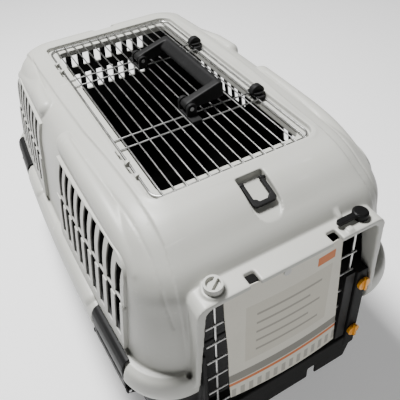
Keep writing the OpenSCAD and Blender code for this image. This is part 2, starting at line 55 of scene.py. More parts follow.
class Join(Enum):
    """Ways to combine two closed solids."""

    ADD = "UNION"
    CUT = "DIFFERENCE"
    KEEP = "INTERSECT"


@dataclass
class Sock:
    """A node's output socket that can be used in Python expressions."""

    graph: "Graph"
    socket: bpy.types.NodeSocket

    def __add__(self, other: "Value") -> "Sock":
        """Sum of two values."""
        return self.graph.math("ADD", self, other)

    def __radd__(self, other: "Value") -> "Sock":
        """Sum with a number on the left."""
        return self.graph.math("ADD", other, self)

    def __sub__(self, other: "Value") -> "Sock":
        """Difference of two values."""
        return self.graph.math("SUBTRACT", self, other)

    def __mul__(self, other: "Value") -> "Sock":
        """Product of two values."""
        return self.graph.math("MULTIPLY", self, other)


Value = Union[Sock, float, Sequence[float]]


class Graph:
    """A material's node tree, built from expressions."""

    def __init__(self, name: str) -> None:
        """Starts a material with one Principled shader.

        Args:
            name: Name of the material.
        """
        self.material = bpy.data.materials.new(name)
        self.material.use_nodes = True
        self.tree = self.material.node_tree
        self.shader = self.tree.nodes["Principled BSDF"]

    def node(
        self,
        kind: str,
        settings: Optional[Mapping[str, object]] = None,
        sockets: Optional[Mapping[Union[str, int], Value]] = None,
    ) -> bpy.types.Node:
        """Adds one node.

        Args:
            kind: The node's type without its ShaderNode prefix.
            settings: Properties of the node, set first.
            sockets: Values or links by input name or index.

        Returns:
            The new node.
        """
        made = self.tree.nodes.new("ShaderNode" + kind)
        for key, value in (settings or {}).items():
            setattr(made, key, value)
        for key, value in (sockets or {}).items():
            self.put(made.inputs[key], value)
        return made

    def put(self, socket: bpy.types.NodeSocket, value: Value) -> None:
        """Links a socket, or sets its own value.

        Args:
            socket: An input socket.
            value: What it gets.
        """
        if isinstance(value, Sock):
            self.tree.links.new(value.socket, socket)
        elif isinstance(value, (int, float)):
            socket.default_value = value
        else:
            parts = tuple(value)
            full = len(socket.default_value)
            socket.default_value = parts + (1.0,) * (full - len(parts))

    def out(self, node: bpy.types.Node, key: Union[str, int] = 0) -> Sock:
        """One output of a node as an expression."""
        return Sock(self, node.outputs[key])

    def math(self, operation: str, a: Value, b: Value) -> Sock:
        """A Math node on two values."""
        return self.out(self.node("Math", {"operation": operation}, {0: a, 1: b}))

    def place(self) -> Sock:
        """The surface point in the object's own metres."""
        return self.out(self.node("TexCoord"), "Object")

    def scaled(self, vector: Sock, factors: Point3) -> Sock:
        """A vector with each axis multiplied."""
        made = self.node("VectorMath", {"operation": "MULTIPLY"}, {0: vector, 1: factors})
        return self.out(made)

    def axes(self, vector: Sock) -> Tuple[Sock, Sock, Sock]:
        """The three numbers of a vector."""
        made = self.node("SeparateXYZ", sockets={0: vector})
        return self.out(made, 0), self.out(made, 1), self.out(made, 2)

    def noise(self, vector: Sock, scale: float, detail: float) -> Sock:
        """Cloudy noise between 0 and 1, with clouds per metre and octaves of finer clouds."""
        return self.out(self.node("TexNoise", sockets={"Vector": vector, "Scale": scale, "Detail": detail}))

    def ramp(self, value: Sock, black: float, white: float) -> Sock:
        """A value spread from 0 at one place to 1 at another.

        Args:
            value: The value.
            black: Where the result is 0.
            white: Where the result is 1.

        Returns:
            The spread value.
        """
        made = self.node("ValToRGB", sockets={0: value})
        for element, place in zip(made.color_ramp.elements, (black, white)):
            element.position = place
        return self.out(made)

    def mix(self, factor: Value, a: Value, b: Value) -> Sock:
        """A colour between two colours, where the factor 0 gives a and 1 gives b."""
        made = self.node("Mix", {"data_type": "RGBA", "clamp_factor": True}, {0: factor, 6: a, 7: b})
        return self.out(made, 2)

    def bump(self, height: Value, strength: float, distance: float) -> Sock:
        """A normal from a height, for the shader's Normal socket."""
        made = self.node("Bump", sockets={"Strength": strength, "Distance": distance, "Height": height})
        return self.out(made)

    def feed(self, **sockets: Value) -> bpy.types.Material:
        """Sets the shader's sockets, with spaces in their names as underscores.

        Args:
            **sockets: Values or links by socket name.

        Returns:
            The finished material.
        """
        for key, value in sockets.items():
            self.put(self.shader.inputs[key.replace("_", " ")], value)
        return self.material


@dataclass(frozen=True)
class MouldedPlastic:
    """Injection moulded plastic with fine grain, clouding, scuffs and dust, and painted shade on its inner
    skin when an inside colour is given.
    """

    name: str
    base: Colour
    cloud: Colour
    scuff: Colour
    roughness: float = 0.42
    grain: float = 0.10
    dust: float = 0.0
    # inside: colour of painted shade, laid on points marked as inner skin where shade falls inside the closed
    # shell.
    inside: Optional[Colour] = None
    gloss: float = 0.42

    def make(self) -> bpy.types.Material:
        """Builds the material.

        Returns:
            The material.
        """
        g = Graph(self.name)
        place = g.place()
        clouds = g.ramp(g.noise(place, 9.0, 4.0), 0.3, 0.72)
        colour = g.mix(clouds, self.base, self.cloud)
        streaks = g.noise(g.scaled(place, (22.0, 260.0, 300.0)), 1.0, 3.0)
        hair = g.ramp(streaks, 0.62, 0.70)
        worn = g.ramp(g.noise(place, 26.0, 3.0), 0.52, 0.66)
        colour = g.mix(hair * worn * 0.5, colour, self.scuff)
        if self.dust > 0.0:
            up = g.axes(g.out(g.node("NewGeometry"), "Normal"))[2]
            flecks = g.ramp(g.noise(place, 420.0, 3.0), 0.45, 0.75)
            settled = g.ramp(up, 0.35, 0.95)
            colour = g.mix(settled * flecks * self.dust, colour, self.scuff)
        # Painted shade: points marked as inner skin take the near-black inside colour in place of the shade
        # inside the closed shell.
        if self.inside is not None:
            inner = g.out(g.node("Attribute", {"attribute_name": "inside"}), "Fac")
            colour = g.mix(inner, colour, self.inside)
        grain = g.noise(place, 1300.0, 2.0)
        rough = self.roughness + (clouds - 0.5) * 0.07 + hair * worn * 0.12 + (grain - 0.5) * 0.10
        normal = g.bump(grain, self.grain, 0.0006)
        return g.feed(Base_Color=colour, Roughness=rough, Normal=normal, Specular_IOR_Level=self.gloss)


@dataclass(frozen=True)
class PlatedWire:
    """Bright plated wire with dull patches and fine drawing lines."""

    name: str
    base: Colour = (0.54, 0.54, 0.53)
    dull: Colour = (0.34, 0.34, 0.33)
    roughness: float = 0.28

    def make(self) -> bpy.types.Material:
        """Builds the material.

        Returns:
            The material.
        """
        g = Graph(self.name)
        place = g.place()
        patches = g.ramp(g.noise(place, 70.0, 4.0), 0.45, 0.8)
        lines = g.noise(g.scaled(place, (900.0, 900.0, 900.0)), 1.0, 2.0)
        colour = g.mix(patches, self.base, self.dull)
        rough = self.roughness + patches * 0.2 + (lines - 0.5) * 0.1
        return g.feed(Base_Color=colour, Roughness=rough, Metallic=1.0, Normal=g.bump(lines, 0.05, 0.0003))


@dataclass(frozen=True)
class PrintedCard:
    """Coated card with a plain layout of bands and fields."""

    name: str
    paper: Colour = (0.68, 0.66, 0.58)
    warm: Colour = (0.58, 0.13, 0.008)
    grey: Colour = (0.14, 0.135, 0.12)
    pale: Colour = (0.46, 0.43, 0.36)

    @staticmethod
    def field(g: Graph, x: Sock, z: Sock, lo: Point2, hi: Point2) -> Sock:
        """A mask that is 1 inside an upright rectangle between two corners in metres."""
        across = g.math("GREATER_THAN", x, lo[0]) * g.math("LESS_THAN", x, hi[0])
        return across * (g.math("GREATER_THAN", z, lo[1]) * g.math("LESS_THAN", z, hi[1]))

    def make(self) -> bpy.types.Material:
        """Builds the material.

        Returns:
            The material.
        """
        g = Graph(self.name)
        place = g.place()
        x, _, z = g.axes(place)
        fibres = g.noise(g.scaled(place, (500.0, 500.0, 900.0)), 1.0, 3.0)
        colour = g.mix(fibres * 0.25, self.paper, self.pale)
        for lo, hi, tint, amount in self.layout():
            colour = g.mix(self.field(g, x, z, lo, hi) * amount, colour, tint)
        soil = g.ramp(g.noise(place, 24.0, 5.0), 0.5, 0.85)
        colour = g.mix(soil * 0.22, colour, self.pale)
        rough = 0.55 + soil * 0.15
        normal = g.bump(fibres, 0.06, 0.0004)
        return g.feed(Base_Color=colour, Roughness=rough, Normal=normal, Specular_IOR_Level=0.12)

    def layout(self) -> List[Tuple[Point2, Point2, Colour, float]]:
        """Fields of the print.

        Returns:
            Low corner, high corner, colour and strength of each field.
        """
        fields = [
            ((-0.090, 0.146), (0.090, 0.152), self.warm, 0.92),
            ((-0.090, 0.154), (0.090, 0.170), self.grey, 0.8),
            ((-0.060, 0.186), (0.058, 0.290), self.pale, 0.42),
            ((0.034, 0.298), (0.060, 0.312), self.warm, 0.9),
        ]
        for row in range(5):
            z = 0.200 + row * 0.017
            fields.append(((-0.046, z), (0.044 - 0.016 * (row % 2), z + 0.004), self.grey, 0.55))
        for i in range(15):
            left, right = -0.090 + 0.012 * i, -0.084 + 0.012 * i
            fields.append(((left, 0.119), (right, 0.137), self.grey, 0.5))
        return fields


@dataclass(frozen=True)
class PaleFloor:
    """Plain pale studio floor."""

    name: str = "studio_floor"
    base: Colour = (0.88, 0.88, 0.88)
    cloud: Colour = (0.82, 0.82, 0.82)
    glow: float = 0.30

    def make(self) -> bpy.types.Material:
        """Builds the material.

        Returns:
            The material.
        """
        g = Graph(self.name)
        clouds = g.noise(g.place(), 3.0, 2.0)
        colour = g.mix(clouds * 0.06, self.base, self.cloud)
        white = (1.0, 1.0, 1.0)
        return g.feed(Base_Color=colour, Roughness=0.7, Emission_Color=white, Emission_Strength=self.glow)


def linked(name: str, data: bpy.types.ID) -> bpy.types.Object:
    """A new object in the scene.

    Args:
        name: Its name.
        data: Its mesh, lamp or camera.

    Returns:
        The object.
    """
    ob = bpy.data.objects.new(name, data)
    bpy.context.scene.collection.objects.link(ob)
    return ob


@dataclass
class Solid:
    """A closed mesh of its own, in millimetres while it is being shaped."""

    mesh: bpy.types.Mesh

    @classmethod
    def of(cls, work: bmesh.types.BMesh) -> "Solid":
        """Closes a bmesh into a solid with outward normals.

        Args:
            work: The faces, which are used up.

        Returns:
            The solid.
        """
        bmesh.ops.recalc_face_normals(work, faces=work.faces)
        mesh = bpy.data.meshes.new("solid")
        work.to_mesh(mesh)
        work.free()
        return cls(mesh)

    @classmethod
    def loft(cls, rings: Sequence[Sequence[Point3]]) -> "Solid":
        """A skin through rings of equal length, capped at both ends.

        Args:
            rings: Closed rings from bottom to top.

        Returns:
            The solid.
        """
        work = bmesh.new()
        rows = [[work.verts.new(p) for p in ring] for ring in rings]
        count = len(rows[0])
        for low, high in zip(rows[:-1], rows[1:]):
            for i in range(count):
                j = (i + 1) % count
                work.faces.new((low[i], low[j], high[j], high[i]))
        work.faces.new(rows[0][::-1])
        work.faces.new(rows[-1])
        return cls.of(work)

    @classmethod
    def prism(cls, outline: Sequence[Point2], z0: float, z1: float) -> "Solid":
        """An outline drawn upright between two heights."""
        return cls.loft([[(x, y, z) for x, y in outline] for z in (z0, z1)])

    @classmethod
    def hull(cls, points: Iterable[Point3]) -> "Solid":
        """The convex hull of points.

        Args:
            points: Points to wrap.

        Returns:
            The solid.
        """
        work = bmesh.new()
        for p in points:
            work.verts.new(p)
        made = bmesh.ops.convex_hull(work, input=work.verts)
        loose = set(made["geom_interior"]) | set(made["geom_unused"])
        spare = [v for v in loose if isinstance(v, bmesh.types.BMVert)]
        bmesh.ops.delete(work, geom=spare, context="VERTS")
        return cls.of(work)

    @classmethod
    def boxes(cls, spans: Iterable[Tuple[Point3, Point3]]) -> "Solid":
        """Separate upright boxes in one mesh.

        Args:
            spans: Low and high corners.

        Returns:
            The solid.
        """
        work = bmesh.new()
        for lo, hi in spans:
            middle = [(a + b) / 2 for a, b in zip(lo, hi)]
            size = [b - a for a, b in zip(lo, hi)]
            matrix = Matrix.Translation(middle) @ Matrix.Diagonal((*size, 1.0))
            bmesh.ops.create_cube(work, size=1.0, matrix=matrix)
        return cls.of(work)

    @classmethod
    def rod(cls, start: Point3, end: Point3, radius: float, sides: int = 40) -> "Solid":
        """A round rod between two points.

        Args:
            start: Middle of one end.
            end: Middle of the other end.
            radius: Radius.
            sides: Number of sides.

        Returns:
            The solid.
        """
        a, b = Vector(start), Vector(end)
        turn = (b - a).to_track_quat("Z", "Y").to_matrix().to_4x4()
        work = bmesh.new()
        bmesh.ops.create_cone(
            work, cap_ends=True, segments=sides, radius1=radius, radius2=radius, depth=(b - a).length,
            matrix=Matrix.Translation((a + b) / 2) @ turn,
        )
        return cls.of(work)

    def moved(self, matrix: Matrix) -> "Solid":
        """This solid carried by a matrix, turned right side out if it mirrors.

        Args:
            matrix: The motion.

        Returns:
            This solid.
        """
        self.mesh.transform(matrix)
        if matrix.determinant() < 0:
            self.mesh.flip_normals()
        return self

    def tree(self) -> BVHTree:
        """Search tree of the faces."""
        points = [v.co for v in self.mesh.vertices]
        return BVHTree.FromPolygons(points, [p.vertices for p in self.mesh.polygons])

    def mirrored(self) -> "Solid":
        """A copy on the other side of the middle plane."""
        return Solid(self.mesh.copy()).moved(MIRROR)

    def combine(self, how: Join, *others: "Solid") -> "Solid":
        """Adds, cuts or keeps what this solid shares with others.

        Args:
            how: The kind of combination.
            *others: Solids that are used up.

        Returns:
            This solid.
        """
        for other in others:
            tool = linked("tool", other.mesh)
            self.shape("BOOLEAN", operation=how.value, solver="MANIFOLD", object=tool)
            bpy.data.objects.remove(tool)
        return self

    def shape(self, kind: str, **settings: object) -> None:
        """Puts the mesh through one modifier.

        Args:
            kind: The modifier's type.
            **settings: Its properties.
        """
        ob = linked("work", self.mesh)
        step = ob.modifiers.new("step", kind)
        for key, value in settings.items():
            setattr(step, key, value)
        graph = bpy.context.evaluated_depsgraph_get()
        self.mesh = bpy.data.meshes.new_from_object(ob.evaluated_get(graph))
        bpy.data.objects.remove(ob)

    def softened(self, voxel: float, rounds: int, faces: int) -> "Solid":
        """Rounds every edge as a mould does.

        Args:
            voxel: Size of the remesh in millimetres.
            rounds: Smoothing rounds.
            faces: Most faces that are kept.

        Returns:
            This solid.
        """
        self.shape("REMESH", mode="VOXEL", voxel_size=voxel, adaptivity=0.0)
        self.shape("SMOOTH", factor=0.5, iterations=rounds)
        count = len(self.mesh.polygons) * 2
        if count > faces:
            self.shape("DECIMATE", ratio=faces / count)
        return self

    def cleaned(self, least: int = 60, weld: float = 0.01) -> "Solid":
        """Joins points that coincide and drops flakes that the cuts leave behind.

        Args:
            least: Fewest points of a part that stays.
            weld: Distance within which points coincide.

        Returns:
            This solid.
        """
        work = bmesh.new()
        work.from_mesh(self.mesh)
        bmesh.ops.triangulate(work, faces=work.faces)
        bmesh.ops.remove_doubles(work, verts=work.verts, dist=weld)
        bmesh.ops.dissolve_degenerate(work, dist=weld, edges=work.edges)
        left = set(work.verts)
        while left:
            island, edge = set(), [left.pop()]
            while edge:
                vert = edge.pop()
                island.add(vert)
                near = [e.other_vert(vert) for e in vert.link_edges]
                edge += [v for v in near if v in left]
                left.difference_update(near)
            if len(island) < least:
                bmesh.ops.delete(work, geom=list(island), context="VERTS")
        work.to_mesh(self.mesh)
        work.free()
        return self

    def placed(self, name: str, body: str, material: bpy.types.Material, *nodes: str) -> None:
        """Turns the solid into a finished piece in metres.

        Args:
            name: Name of the piece.
            body: Body that it rides.
            material: Its finish.
            *nodes: Nodes that it stands for.
        """
        self.mesh.transform(Matrix.Scale(MM, 4))
        self.mesh.materials.clear()
        self.mesh.materials.append(material)
        self.mesh.polygons.foreach_set("use_smooth", [True] * len(self.mesh.polygons))
        self.mesh.set_sharp_from_angle(angle=SHARP)
        self.mesh.name = name
        ob = linked(name, self.mesh)
        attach(ob, body)
        if nodes:
            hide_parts(*nodes)
        LOG.info("%s: %d faces on %s", name, len(self.mesh.polygons), body)


def smooth_rows(rows: Sequence[Sequence[float]], steps: int) -> List[List[float]]:
    """Rows of numbers joined by a smooth curve that passes through each.

    Args:
        rows: Rows of equal length, whose first two numbers set the spacing.
        steps: Rows made for each gap.

    Returns:
        The finer rows.
    """
    gaps = [max(0.5, math.dist(a[:2], b[:2])) for a, b in zip(rows[:-1], rows[1:])]
    slopes = [[(q - p) / g for p, q in zip(a, b)] for a, b, g in zip(rows[:-1], rows[1:], gaps)]
    lean = [slopes[0]]
    for left, right, g0, g1 in zip(slopes[:-1], slopes[1:], gaps[:-1], gaps[1:]):
        lean.append([(p * g1 + q * g0) / (g0 + g1) for p, q in zip(left, right)])
    lean.append(slopes[-1])
    fine: List[List[float]] = []
    for k, g in enumerate(gaps):
        for s in range(steps):
            t = s / steps
            h = (2 * t**3 - 3 * t**2 + 1, t**3 - 2 * t**2 + t, 3 * t**2 - 2 * t**3, t**3 - t**2)
            ends = zip(rows[k], rows[k + 1], lean[k], lean[k + 1])
            fine.append([h[0] * p + h[1] * g * m + h[2] * q + h[3] * g * n for p, q, m, n in ends])
    fine.append(list(rows[-1]))
    return fine


def ball(centre: Point3, radius: float, turns: int = 18) -> List[Point3]:
    """Points on a sphere, for hulls.

    Args:
        centre: Middle of the sphere.
        radius: Radius.
        turns: Points round the middle.

    Returns:
        The points.
    """
    points = []
    for i in range(turns // 2 + 1):
        lift = math.pi * i / (turns // 2) - math.pi / 2
        ring, z = radius * math.cos(lift), centre[2] + radius * math.sin(lift)
        for j in range(turns):
            turn = 2 * math.pi * j / turns
            points.append((centre[0] + ring * math.cos(turn), centre[1] + ring * math.sin(turn), z))
    return points


def arc(centre: Point2, radius: float, start: float, end: float, steps: int) -> List[Point2]:
    """Points on a circle's arc, with angles in degrees."""
    turns = [math.radians(start + (end - start) * i / steps) for i in range(steps + 1)]
    return [(centre[0] + radius * math.cos(t), centre[1] + radius * math.sin(t)) for t in turns]


@dataclass
class CarrierForm:
    """Sizes in millimetres that the mouldings share, and the forms made from them."""

    half: float = 203.0
    front: float = -286.5
    rear: float = 291.0
    roof: float = 385.0
    belt: float = 178.0
    wall: float = 3.2
    hatch: Point2 = (214.0, 402.0)
    hatch_y: float = 15.0
    grip_y: float = 10.6
    sill: float = 110.0
    sag: float = 8.0
    rod_x: float = 95.0
    button_pitch: float = 87.1
    knobs: Tuple[Point2, ...] = ((110.5, 223.0), (109.0, 127.0))
    latch: Point3 = (192.5, 201.5, 171.0)
    latch_yaw: float = 3.4

    @property
    def porch(self) -> float:
        """Front edge of the porch."""
        return self.front - 16.0

    @property
    def shelf(self) -> float:
        """Height of the porch top."""
        return self.roof - 48.0

    @property
    def door_y(self) -> float:
        """Plane of the two door rods."""
        return self.porch + 15.0

    def outline(self, a: float, f: float, r: float, rad: float) -> List[Point2]:
        """Plan with round corners and sides that draw in softly towards them.

        Args:
            a: Half width at the middle.
            f: Front edge.
            r: Rear edge.
            rad: Corner radius.

        Returns:
            The closed outline.
        """
        c, reach, n, m = a - self.sag - rad, (r - f) / 2 - rad, 14, 16
        side = arc((c, f + rad), rad, -90, 0, n)
        for i in range(1, m):
            t = 2 * i / m - 1
            side.append((a - self.sag * t * t, (f + r) / 2 + t * reach))
        side += arc((c, r - rad), rad, 0, 90, n)
        return side + [(-x, y) for x, y in reversed(side)]

    def loft(self, rows: Sequence[Sequence[float]], g: float = 0.0, steps: int = 7) -> Solid:
        """A form through rows of half width, height, front, rear and corner radius.

        Args:
            rows: Rows from bottom to top, with widths and ends measured from the carrier's own.
            g: How far the form is grown.
            steps: Rows made for each gap.

        Returns:
            The form.
        """
        h, front, rear = self.half, self.front, self.rear
        full = [(h + a + g, z, front + f - g, rear + r + g, rad + g) for a, z, f, r, rad in rows]
        fine = smooth_rows(full, steps)
        return Solid.loft([[(x, y, z) for x, y in self.outline(a, f, r, rad)] for a, z, f, r, rad in fine])

    def body(self, g: float, low: float = 205.0) -> Solid:
        """The crowned form of the shell.

        Args:
            g: How far the form is grown.
            low: Height of the lowest row.

        Returns:
            The form.
        """
        top = self.roof
        rows = (
            (-15 + (205 - low) * 0.03, low, 0, 0, 60),
            (-24.5, 300, 6, -11, 58),
            (-29, top - 48, 12, -16, 56),
            (-32.5, top - 35 + g * 0.4, 22, -19, 54),
            (-37, top - 24 + g * 0.7, 36, -22.5, 52),
            (-44, top - 14 + g, 50, -27.5, 48),
            (-55, top - 6 + g, 66, -35, 42),
            (-75, top + g, 91, -51, 32),
        )
        return self.loft(rows, g)

    def button_places(self) -> List[float]:
        """Where the hatch's turn buttons stand along the carrier."""
        return [self.grip_y + s * self.button_pitch for s in (-1, 1)]

    def latch_places(self) -> List[Matrix]:
        """Where the four latch axes stand.

        Returns:
            Their places, with local X outwards on the right and mirrored on the left.
        """
        made = []
        for side in (1, -1):
            for end in (-1, 1):
                x, y, z = self.latch
                turn = Matrix.Rotation(math.radians(end * self.latch_yaw), 4, "Z")
                place = Matrix.Translation((x, end * y, z)) @ turn
                made.append(place if side > 0 else MIRROR @ place)
        return made

    def hatch_plate(self, grow: float, rad: float, z0: float, z1: float) -> Solid:
        """A rounded plate over the roof hatch.

        Args:
            grow: How far the form is grown.
            rad: Corner radius.
            z0: Low face.
            z1: High face.

        Returns:
            The plate.
        """
        w, l = self.hatch[0] / 2 + grow, self.hatch[1] / 2 + grow
        x, y = w - rad, l - rad
        points: List[Point2] = []
        for cx, cy, start in ((x, -y, -90), (x, y, 0), (-x, y, 90), (-x, -y, 180)):
            points += arc((cx, cy + self.hatch_y), rad, start, start + 90, 10)
        return Solid.prism(points, z0, z1)


@dataclass
class Group:
    """Pieces that belong together, with the sizes and finishes that all groups share."""

    form: CarrierForm
    finish: Mapping[str, bpy.types.Material]

    def build(self) -> None:
        """Makes the pieces."""
        raise NotImplementedError

    def dress(self, finish: str, *nodes: str) -> None:
        """Gives nodes that keep their own shape a finish.

        Args:
            finish: Name of the finish.
            *nodes: Node names.
        """
        for name in nodes:
            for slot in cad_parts[name].material_slots:
                slot.material = self.finish[finish]
            LOG.info("%s: dressed", name)

    def soften(self, name: str, body: str, finish: str, voxel: float, faces: int, rounds: int = 3) -> None:
        """Stands a round-edged copy in for a node.

        Args:
            name: Node name.
            body: Body that it rides.
            finish: Name of the finish.
            voxel: Size of the remesh in millimetres.
            faces: Most faces that are kept.
            rounds: Smoothing rounds.
        """
        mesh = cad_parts[name].data.copy()
        mesh.transform(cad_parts[name].matrix_world)
        mesh.transform(Matrix.Scale(1 / MM, 4))
        solid = Solid(mesh).softened(voxel, rounds, faces)
        solid.placed(name + "_piece", body, self.finish[finish], name)


@dataclass
class UpperShell(Group):
    """The light shell with its hoods, vents, porch, hatch rim and bail pockets."""

    slot_pitch: float = 22.0
    slot_w: float = 13.0
    vent_wall: float = 2.2
    vents: Tuple[Point2, ...] = ((-232.0, -21.0), (62.0, 228.0))
    vent_rise: Point3 = (225.0, 297.0, 356.0)
    vent_relief: Point2 = (3.6, 5.0)
    hooks: Tuple[float, ...] = (-142.0, -115.2, 138.5, 164.2)
    hook_slots: Tuple[float, ...] = (-129.5, -101.0, 125.5, 151.5)
    rim: float = 11.0
    # Depths within which points count as inner skin for the painted shade.
    skin: float = 1.3
    vent_skin: float = 0.8
    rear_crease: Tuple[Point3, ...] = (
        (136.9, 216.3, 382.4), (139.3, 183.3, 379.8), (142.8, 144.1, 379.5), (146.0, 107.0, 380.4),
        (149.0, 74.0, 382.2),
    )
    front_crease: Tuple[Point3, ...] = (
        (150.3, -30.0, 381.1), (149.3, -66.0, 381.0), (147.4, -102.5, 380.4), (144.6, -134.3, 379.1),
        (141.8, -162.9, 378.8), (140.1, -187.9, 378.0), (139.0, -210.4, 374.0), (138.6, -238.7, 361.8),
        (139.8, -250.0, 352.0), (139.8, -262.3, 340.5), (138.4, -271.4, 310.5), (136.7, -278.4, 283.5),
    )

    def build(self) -> None:
        """Shapes the shell, rounds its edges and hangs it on the base."""
        f = self.form
        shell = f.body(0.0)
        shell.combine(Join.ADD, self.panel(), self.flange(), self.porch())
        for part in self.both(self.grip(-4, -138), self.grip(90, 140), *self.hoods(0.0)):
            shell.combine(Join.ADD, part)
        shell.combine(Join.CUT, *self.creases(shell))
        shell.combine(Join.CUT, f.body(-f.wall, 150.0), *self.both(*self.hoods(-f.wall)))
        shell.combine(Join.CUT, self.groove())
        rim = f.hatch_plate(9.5, 19, f.roof - 15, f.roof + 2.5)
        shell.combine(Join.ADD, rim.combine(Join.KEEP, f.body(2.5)))
        shell.combine(Join.ADD, *(p.combine(Join.KEEP, f.body(2.0)) for p in self.pockets(4.0)))
        shell.combine(Join.ADD, *self.porch_trim())
        for place in f.latch_places():
            shell.combine(Join.ADD, Solid.boxes([((-10.6, -47, 8.3), (-0.6, 47, 39.8))]).moved(place))
            shell.combine(Join.CUT, Solid.boxes([((-2, -43.9, -12), (28, 43.9, 46))]).moved(place))
        shell.combine(Join.CUT, *self.hatch_cuts())
        shell.combine(Join.CUT, self.doorway(), *self.pockets(0.0))
        shell.combine(Join.CUT, self.small_cuts(), *self.round_holes())
        shell.softened(voxel=1.25, rounds=5, faces=90000)
        shell.combine(Join.ADD, *(t.combine(Join.CUT, f.body(-f.wall / 2, 150.0)) for t in self.tiers(0.0)))
        shell.combine(Join.CUT, *self.tiers(-self.vent_wall), self.slots(), self.catches())
        shell.cleaned()
        # Marks the inner skin, where the finish paints shade.
        self.mark_painted_shade(shell)
        shell.placed("shell_moulding", "base", self.finish["shell"], "upper_shell")
        for y in self.hooks:
            self.hook(y).placed("hinge_hook_%d" % round(y), "base", self.finish["shell"])

    @staticmethod
    def both(*parts: Solid) -> List[Solid]:
        """Each part and its mirror image."""
        return [p for part in parts for p in (part, part.mirrored())]

    def panel(self) -> Solid:
        """Raised middle panel whose edge draws the crease.

        Returns:
            The panel.
        """
        side = [(141, 340), (139, 220), (136, 60), (132.6, -30), (126.5, -96), (124, -140), (122.4, -200)]
        side += [(122.2, -238), (125, -256), (128.5, -275), (129, -340)]
        points = side + [(-x, y) for x, y in reversed(side)]
        return Solid.prism(points, 0.0, self.form.roof + 20).combine(Join.KEEP, self.form.body(2.0))

    def flange(self) -> Solid:
        """Rounded belt flange.

        Returns:
            The flange.
        """
        z = self.form.belt
        rows = (
            (-6, z, -6, 4, 64),
            (-0.5, z + 7, -10, 7, 68),
            (0, z + 26, -10.5, 7.5, 68.5),
            (-3, z + 34, -8, 5, 66),
            (-9, z + 38.5, -3, 1, 62),
        )
        return self.form.loft(rows, steps=4)

    def groove(self) -> Solid:
        """Hollow under the flange.

        Returns:
            The hollow.
        """
        f, z = self.form, self.form.belt
        rows = ((-9.5, z - 1, -2.5, 0.5, 61), (-4, z + 24, -6.5, 3.5, 65))
        core = Solid.prism(f.outline(f.half - 14.9, f.front, f.rear, 60), z - 4, z + 40)
        return f.loft(rows, steps=1).combine(Join.CUT, core)

    def grip(self, y0: float, y1: float) -> Solid:
        """Soft swelling on the flange."""
        h, z = self.form.half, self.form.belt + 31
        return Solid.hull(ball((h - 14, y0, z), 13, 28) + ball((h - 15.5, y1, z), 13, 28))

    def hood(self, crest: Sequence[float], low: Sequence[float], g: float) -> Solid:
        """Shoulder hood over a side vent.

        Args:
            crest: Places along the crest.
            low: Places of the low ends.
            g: Growth.

        Returns:
            The hood.
        """
        h, top = self.form.half, self.form.roof
        points: List[Point3] = []
        for y in crest:
            drop = -16.5 - (y - 70) * 0.0485 if y > 0 else -18 - 12 * (max(0.0, -100 - y) / 100) ** 3
            points += ball((h - 49.5 - 6 * (y / 235) ** 2, y, top + drop), 14.5 + g, 30)
        for y in low:
            points += ball((h - 80, y, top - 24), 10 + g) + ball((h - 49, y, top - 38), 10 + g)
        return Solid.hull(points)

    def hoods(self, g: float) -> List[Solid]:
        """Front and rear hood of the right side, grown by g."""
        front, rear = [-16 - 9 * i for i in range(25)], [74 + 83 * i / 4 for i in range(3)]
        return [self.hood(front, (-26, -200), g), self.hood(rear, (82, 232), g)]

    def vent(self, v: Point2, z0: float, z1: float, rad: float, g: float) -> Solid:
        """Side view of a vent panel as a bar across the carrier.

        Args:
            v: Ends along the carrier.
            z0: Height of the foot.
            z1: Height of the top.
            rad: Radius of the outer top corner.
            g: How far the form is grown.

        Returns:
            The bar.
        """
        low, high, z1 = v[0] - g, v[1] + g, z1 + g
        points = [(low, z0), (high, z0)]
        if high > 0:
            points += arc((high - rad, z1 - rad), rad, 0, 90, 12) + [(low, z1)]
        else:
            points += [(high, z1)] + arc((low + rad, z1 - rad), rad, 90, 180, 12)
        bar = Solid.prism(points, -self.form.half, self.form.half)
        return bar.moved(Matrix(((0, 0, 1, 0), (1, 0, 0, 0), (0, 1, 0, 0), (0, 0, 0, 1))))

    def tiers(self, g: float) -> List[Solid]:
        """Stepped louvre tiers of both vents.

        Args:
            g: How far the form is grown.

        Returns:
            Upper and lower tier of each vent.
        """
        foot, split, top = self.vent_rise
        made = []
        for v in self.vents:
            upper = self.vent(v, split - 1 + 3 * g, top, 26, g)
            lower = self.vent(v, foot - g, split, 8, g)
            made.append(upper.combine(Join.KEEP, self.form.body(self.vent_relief[0] + g)))
            made.append(lower.combine(Join.KEEP, self.form.body(self.vent_relief[1] + g)))
        return made

    def creases(self, shell: Solid) -> List[Solid]:
        """Fine grooves along the inner edges of the hoods.

        Args:
            shell: The outer form so far.

        Returns:
            Short round cutters that lie on the surface.
        """
        tree = shell.tree()
        made = []
        for s in (-1, 1):
            for crease in (self.front_crease, self.rear_crease):
                line = []
                for a, b in zip(crease[:-1], crease[1:]):
                    for k in range(5):
                        x, y, z = Vector(a).lerp(Vector(b), k / 5)
                        near, normal, _, _ = tree.find_nearest((s * x, y, z))
                        line.append(near + normal * 1.0)
                made += [Solid.hull(ball(a, 2.3, 10) + ball(b, 2.3, 10)) for a, b in zip(line[:-1], line[1:])]
        return made

    def hatch_cuts(self) -> List[Solid]:
        """Recess and opening of the hatch, with fuller recess corners on the hinge side.

        Returns:
            The cutters.
        """
        f = self.form
        recess = f.hatch_plate(5, 19, f.roof - 5, f.roof + 20)
        cuts = [recess, f.hatch_plate(-10, 9, f.roof - 40, f.roof + 20)]
        for s in (-1, 1):
            x, y = 4.5 - f.hatch[0] / 2, f.hatch_y + s * (f.hatch[1] / 2 - 4.5)
            cuts.append(Solid.rod((x, y, f.roof - 5), (x, y, f.roof + 20), 9.4, 48))
        return cuts

